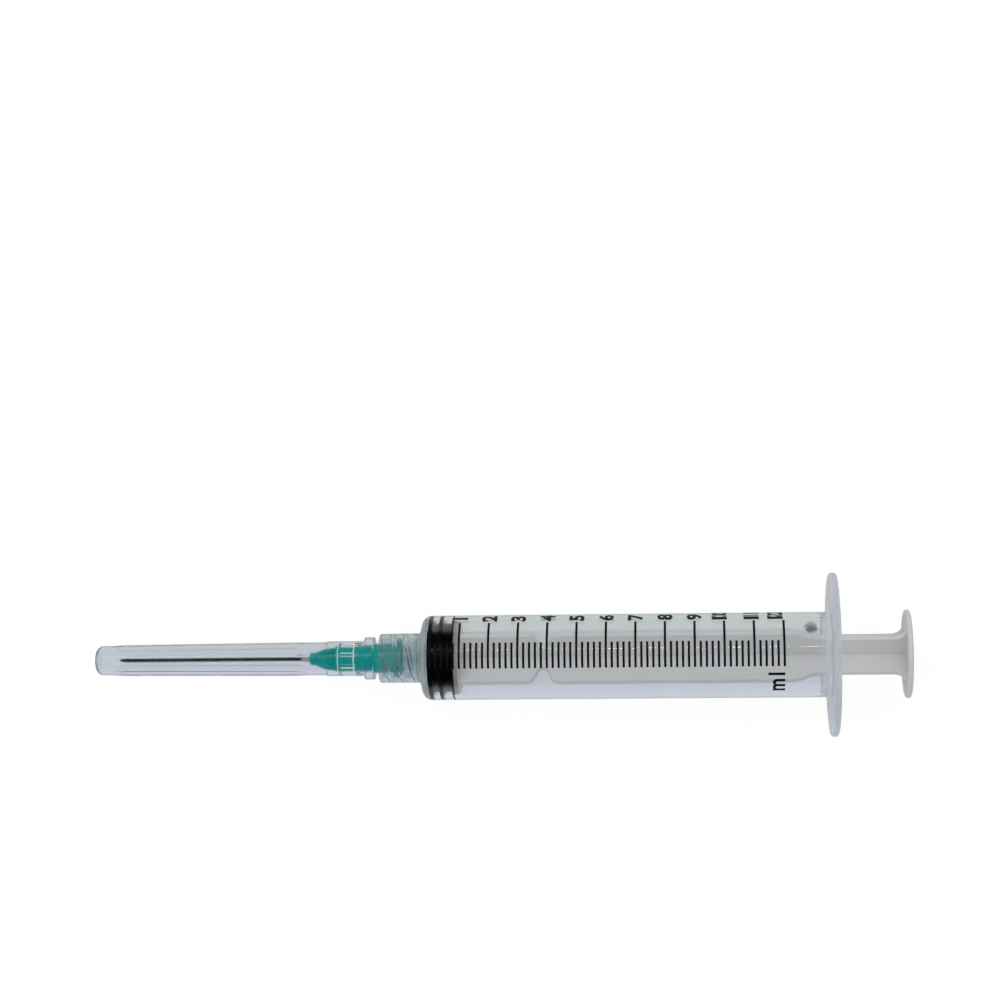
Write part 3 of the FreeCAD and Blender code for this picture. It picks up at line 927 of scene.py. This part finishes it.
class SYRINGE_OT_plunger(bpy.types.Operator):
    """Crossed ribs of the plunger with its thumb press"""

    bl_idname = "syringe.plunger"
    bl_label = "Plunger"

    def execute(self, context):
        milky = milky_plastic("milky_plunger", colours().milky, 0.05)
        piece = from_frame("plunger_rod", "plunger_moulding", milky, 0.09 * MM)
        # The disc's end next to the stopper gets a darker grey of the same plastic: painted shade cast by the
        # black rubber
        piece.data.materials.append(milky_plastic("disc_painted_shade", colours().disc, 0.05))
        painted_shade_end = 5.0 * MM
        for face in piece.data.polygons:
            if (BACK @ face.center).x < painted_shade_end:
                face.material_index = 1
        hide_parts("plunger_rod")
        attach(piece, "plunger")
        return {"FINISHED"}


class SYRINGE_OT_needle(bpy.types.Operator):
    """Green hub, steel cannula and the glue between them"""

    bl_idname = "syringe.needle"
    bl_label = "Needle"

    def execute(self, context):
        hub = from_frame("needle_hub", "hub_moulding", green_plastic(), 0.05 * MM)
        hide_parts("needle_hub")
        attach(hub, "hub")
        cannula = from_frame("needle_cannula", "cannula_tube", drawn_steel())
        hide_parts("needle_cannula")
        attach(cannula, "needle")
        bead = from_frame("adhesive_bead", "glue_bead", cured_glue())
        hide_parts("adhesive_bead")
        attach(bead, "needle")
        return {"FINISHED"}


class SYRINGE_OT_cap(bpy.types.Operator):
    """Needle cap with its skirt, collar, fine flutes and the ribs that grip the hub"""

    bl_idname = "syringe.cap"
    bl_label = "Needle cap"

    segments = 288

    def execute(self, context):
        mouth = -11.85 * MM
        end = mouth - 56.3 * MM
        skirt_x = mouth - 9.45 * MM
        collar_x = mouth - 1.95 * MM
        wall = 0.65 * MM
        step = 0.2 * MM
        tip_r = 2.95 * MM
        sheath_r = 3.3 * MM
        skirt_r = 3.475 * MM
        inner_skirt_r = skirt_r - wall + step / 2
        inner_mouth_r = 3.125 * MM
        grip_x = skirt_x + 2.45 * MM
        inner_end = end + 0.8 * MM
        mouth_step = mouth - 3.8 * MM
        soft = 0.12 * MM
        corners = [
            (end, 0),
            (end, tip_r, 1.4 * MM),
            *run((end, tip_r), (skirt_x - step, sheath_r), 40)[2:],
            (skirt_x - step, sheath_r),
            (skirt_x, skirt_r, soft),
            *run((skirt_x, skirt_r), (collar_x, skirt_r), 12),
            (collar_x, skirt_r, soft),
            (collar_x, CAP_COLLAR_R, 0.3 * MM),
            (mouth, CAP_COLLAR_R, soft),
            (mouth, inner_mouth_r, soft),
            *run((mouth, inner_mouth_r), (mouth_step, inner_mouth_r), 6),
            (mouth_step, inner_mouth_r, soft),
            (mouth_step - step, inner_skirt_r),
            *run((mouth_step - step, inner_skirt_r), (grip_x, inner_skirt_r), 12),
            (grip_x, inner_skirt_r),
            (grip_x - step, sheath_r - wall),
            *run((grip_x - step, sheath_r - wall), (inner_end, tip_r - wall), 24),
            (inner_end, tip_r - wall, 0.6 * MM),
            (inner_end, 0),
        ]
        mesh = turned(
            "cap_moulding", outline(corners, closed=False), even_angles(self.segments), closed=False)
        piece = added("cap_moulding", mesh)
        plastic = cap_plastic()
        ridges(piece, plastic, "Cap flutes", {
            "Count": sizes().cap_flutes,
            "Height": sizes().flute_height,
            "Width": 0.45 * MM / sheath_r,
            "Crest": 0.15 * MM / sheath_r,
            "Angle": math.pi / sizes().cap_flutes,
            "Twist": 0.0,
            "Origin": 0.0,
            "Start": end + 3.0 * MM,
            "End": skirt_x - 3.0 * MM,
            "Fade": 3.0 * MM,
            "Inside": 2.8 * MM,
            "Outside": 3.4 * MM,
        })
        ridges(piece, plastic, "Cap grips", {
            "Count": sizes().cap_grips,
            "Height": -0.29 * MM,
            "Width": 0.8 * MM / inner_skirt_r,
            "Crest": 0.6 * MM / inner_skirt_r,
            "Angle": math.radians(18),
            "Twist": 0.0,
            "Origin": 0.0,
            "Start": grip_x,
            "End": grip_x + 4.5 * MM,
            "Fade": 0.4 * MM,
            "Inside": 2.7 * MM,
            "Outside": inner_mouth_r + 0.02 * MM,
        })
        # Painted highlight: the inner steps and grip ribs get a milkier plastic so that they read as light lines,
        # where these edges catch the light from above
        laid(piece, [plastic, milky_plastic("cap_edges_painted_highlight", colours().cap, 0.5)])
        for face in piece.data.polygons:
            x, y, z = BACK @ face.center
            on_step = mouth_step - step < x < mouth_step or grip_x - step < x < grip_x
            past_end = grip_x + 0.4 * MM < x < mouth_step
            on_rib = past_end and 0.03 * MM < inner_skirt_r - math.hypot(y, z) < 0.27 * MM
            if math.hypot(y, z) < inner_mouth_r + soft and (on_step or on_rib):
                face.material_index = 1
        lets_light_in(piece)
        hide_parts("needle_cap")
        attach(piece, "cap")
        return {"FINISHED"}


class SYRINGE_OT_stage(bpy.types.Operator):
    """Pale floor, soft light and the camera"""

    bl_idname = "syringe.stage"
    bl_label = "Stage"

    def floor(self):
        """White floor that keeps the syringe's shadow."""
        half = 2.0
        mesh = bpy.data.meshes.new("floor")
        corners = [(-half, -half, 0), (half, -half, 0), (half, half, 0), (-half, half, 0)]
        mesh.from_pydata(corners, [], [(0, 1, 2, 3)])
        floor = added("floor", mesh)
        material, tree, surface, place = shader("floor_white")
        paper = noise(tree, place, 3 * MM, 3.0)
        tree.link(shaded(tree, paper, colours().floor, 0.995), surface.inputs["Base Color"])
        set_on(surface, {"Roughness": 0.9, "Specular IOR Level": 0.0})
        along, across = tree.node("ShaderNodeSeparateXYZ", {0: place}).outputs[:2]
        side = tree.node("ShaderNodeMapRange", {
            "Value": across, "From Min": -9 * MM, "From Max": 5 * MM,
        }, interpolation_type="SMOOTHSTEP").outputs[0]
        shade = tree.node("ShaderNodeMix", {
            "Factor": side,
            6: tuple(colours().shade_near) + (1.0,),
            7: tuple(colours().shade_far) + (1.0,),
        }, data_type="RGBA").outputs[2]
        under_tube = tree.node("ShaderNodeMapRange", {
            "Value": along, "From Min": -32 * MM, "From Max": -20 * MM,
        }, interpolation_type="SMOOTHSTEP").outputs[0]
        shade = tree.node("ShaderNodeMix", {
            "Factor": under_tube, 6: shade, 7: tuple(colours().shade_tube) + (1.0,),
        }, data_type="RGBA", blend_type="MULTIPLY").outputs[2]
        level = tree.node("ShaderNodeMix", {
            "Factor": tree.math("MAXIMUM", self.through(tree), self.mirrored(tree)),
            6: (1, 1, 1, 1), 7: shade}, data_type="RGBA").outputs[2]
        white = tree.node("ShaderNodeEmission", {"Color": level, "Strength": 1.0})
        share = self.seen(tree, sizes().white_floor, sizes().white_floor, sizes().white_behind)
        blend = tree.node("ShaderNodeMixShader", {0: share, 1: surface.outputs[0], 2: white.outputs[0]})
        tree.link(blend.outputs[0], material.node_tree.nodes["Material Output"].inputs["Surface"])
        mesh.materials.append(material)

    def seen(self, tree, straight, in_gloss, behind):
        """Share of the white background for what is seen straight, in gloss and behind plastic."""
        rays = tree.node("ShaderNodeLightPath").outputs
        first = tree.math("MULTIPLY", rays["Is Camera Ray"], straight)
        second = tree.math("MULTIPLY", self.mirrored(tree), in_gloss)
        third = tree.math("MULTIPLY", rays["Is Transmission Ray"], behind)
        return tree.math("MAXIMUM", tree.math("MAXIMUM", first, second), third)

    def through(self, tree):
        """1 for what is seen through plastic."""
        return tree.node("ShaderNodeLightPath").outputs["Is Transmission Ray"]

    def mirrored(self, tree):
        """1 for what is seen in gloss; what is seen through rough plastic isn't."""
        rays = tree.node("ShaderNodeLightPath").outputs
        straight_on = tree.math("SUBTRACT", 1.0, rays["Is Transmission Ray"])
        return tree.math("MULTIPLY", rays["Is Glossy Ray"], straight_on)

    def lamp(self, name, place, target, wide, deep, brightness):
        """Flat lamp of an even brightness that looks at a target."""
        data = bpy.data.lights.new(name, "AREA")
        data.shape = "RECTANGLE"
        data.size = wide
        data.size_y = deep
        data.energy = brightness * wide * deep * math.pi
        lamp = added(name, data)
        lamp.location = place
        lamp.rotation_euler = (Vector(target) - Vector(place)).to_track_quat("-Z", "Y").to_euler()
        return lamp

    def sky(self):
        """Even light from all sides, which the camera sees as white. What is mirrored in the
        pieces, or seen through them, is white near the ground and dark above, as in a room
        with its lamps off, so that black stays black."""
        world = bpy.data.worlds.new("even_sky")
        bpy.context.scene.world = world
        world.use_nodes = True
        tree = Tree(world.node_tree)
        world.cycles.sampling_method = "NONE"
        background = world.node_tree.nodes["Background"]
        background.inputs["Color"].default_value = (1, 1, 1, 1)
        strength = tree.node("ShaderNodeMapRange", {
            "Value": self.seen(tree, 1.0, 1.0, 1.0),
            "To Min": sizes().sky_light, "To Max": 1.0})
        up = tree.node("ShaderNodeSeparateXYZ", {0: tree.node("ShaderNodeTexCoord").outputs["Generated"]})
        zenith = tree.node("ShaderNodeMapRange", {
            "Value": up.outputs[2], "From Min": -0.05, "From Max": 0.2, "To Min": 0.0, "To Max": 1.0})
        rays = tree.node("ShaderNodeLightPath").outputs
        deep = tree.math("GREATER_THAN", rays["Transmission Depth"], 4.5)
        soft = tree.math("ADD", rays["Diffuse Depth"], deep)
        bounced = tree.math("MINIMUM", tree.math("ADD", soft, rays["Is Camera Ray"]), 1.0)
        clean = tree.math("SUBTRACT", 1.0, bounced)
        dimmed = tree.math("SUBTRACT", 1.0, tree.math("MULTIPLY", zenith.outputs[0], clean))
        shade = tree.math("MULTIPLY", tree.math("MULTIPLY", self.through(tree), clean), 0.25)
        level = tree.math("MULTIPLY", strength.outputs[0], tree.math("SUBTRACT", 1.0, shade))
        tree.link(tree.math("MULTIPLY", level, dimmed), background.inputs["Strength"])

    def camera(self):
        """Camera straight above, turned so that the syringe climbs a little to the right."""
        data = bpy.data.cameras.new("camera")
        data.sensor_width = 36
        data.lens = 80.693
        camera = added("camera", data)
        camera.location = (0.686 * MM, 31.164 * MM, 453.748 * MM)
        camera.rotation_euler = (0, 0, math.radians(-0.8252))
        bpy.context.scene.camera = camera

    def execute(self, context):
        self.floor()
        self.sky()
        overhead = self.lamp("overhead", (-0.15, 0.25, 0.75), (0, 0, 0), 0.9, 0.9, sizes().key_light)
        overhead.visible_glossy = False
        overhead.visible_transmission = False
        overhead.data.cycles.use_multiple_importance_sampling = False
        strip = self.lamp("strip", (0.0, 0.24, 0.52), (0, 0, 0), 0.9, 0.004, sizes().strip_light)
        strip.visible_transmission = False
        self.camera()
        context.scene.view_settings.view_transform = "Standard"
        return {"FINISHED"}


class SYRINGE_PT_panel(bpy.types.Panel):
    """Lists the pieces of the syringe"""

    bl_idname = "SYRINGE_PT_panel"
    bl_label = "Capped syringe"
    bl_space_type = "VIEW_3D"
    bl_region_type = "UI"
    bl_category = "Syringe"

    def draw(self, context):
        for group in (context.scene.syringe_sizes, context.scene.syringe_colours):
            for name in group.__annotations__:
                self.layout.prop(group, name)
        for operator in OPERATORS:
            self.layout.operator(operator.bl_idname)


OPERATORS = (
    SYRINGE_OT_barrel,
    SYRINGE_OT_ticks,
    SYRINGE_OT_numbers,
    SYRINGE_OT_stopper,
    SYRINGE_OT_plunger,
    SYRINGE_OT_needle,
    SYRINGE_OT_cap,
    SYRINGE_OT_stage,
)
CLASSES = (SyringeSizes, SyringeColours, *OPERATORS, SYRINGE_PT_panel)


def register():
    for one in CLASSES:
        bpy.utils.register_class(one)
    bpy.types.Scene.syringe_sizes = bpy.props.PointerProperty(type=SyringeSizes)
    bpy.types.Scene.syringe_colours = bpy.props.PointerProperty(type=SyringeColours)


def unregister():
    del bpy.types.Scene.syringe_colours
    del bpy.types.Scene.syringe_sizes
    for one in reversed(CLASSES):
        bpy.utils.unregister_class(one)


def main():
    """Registers the add-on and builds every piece."""
    register()
    bpy.ops.syringe.barrel()
    bpy.ops.syringe.ticks()
    bpy.ops.syringe.numbers()
    bpy.ops.syringe.stopper()
    bpy.ops.syringe.plunger()
    bpy.ops.syringe.needle()
    bpy.ops.syringe.cap()
    bpy.ops.syringe.stage()


if __name__ == "__main__":
    main()
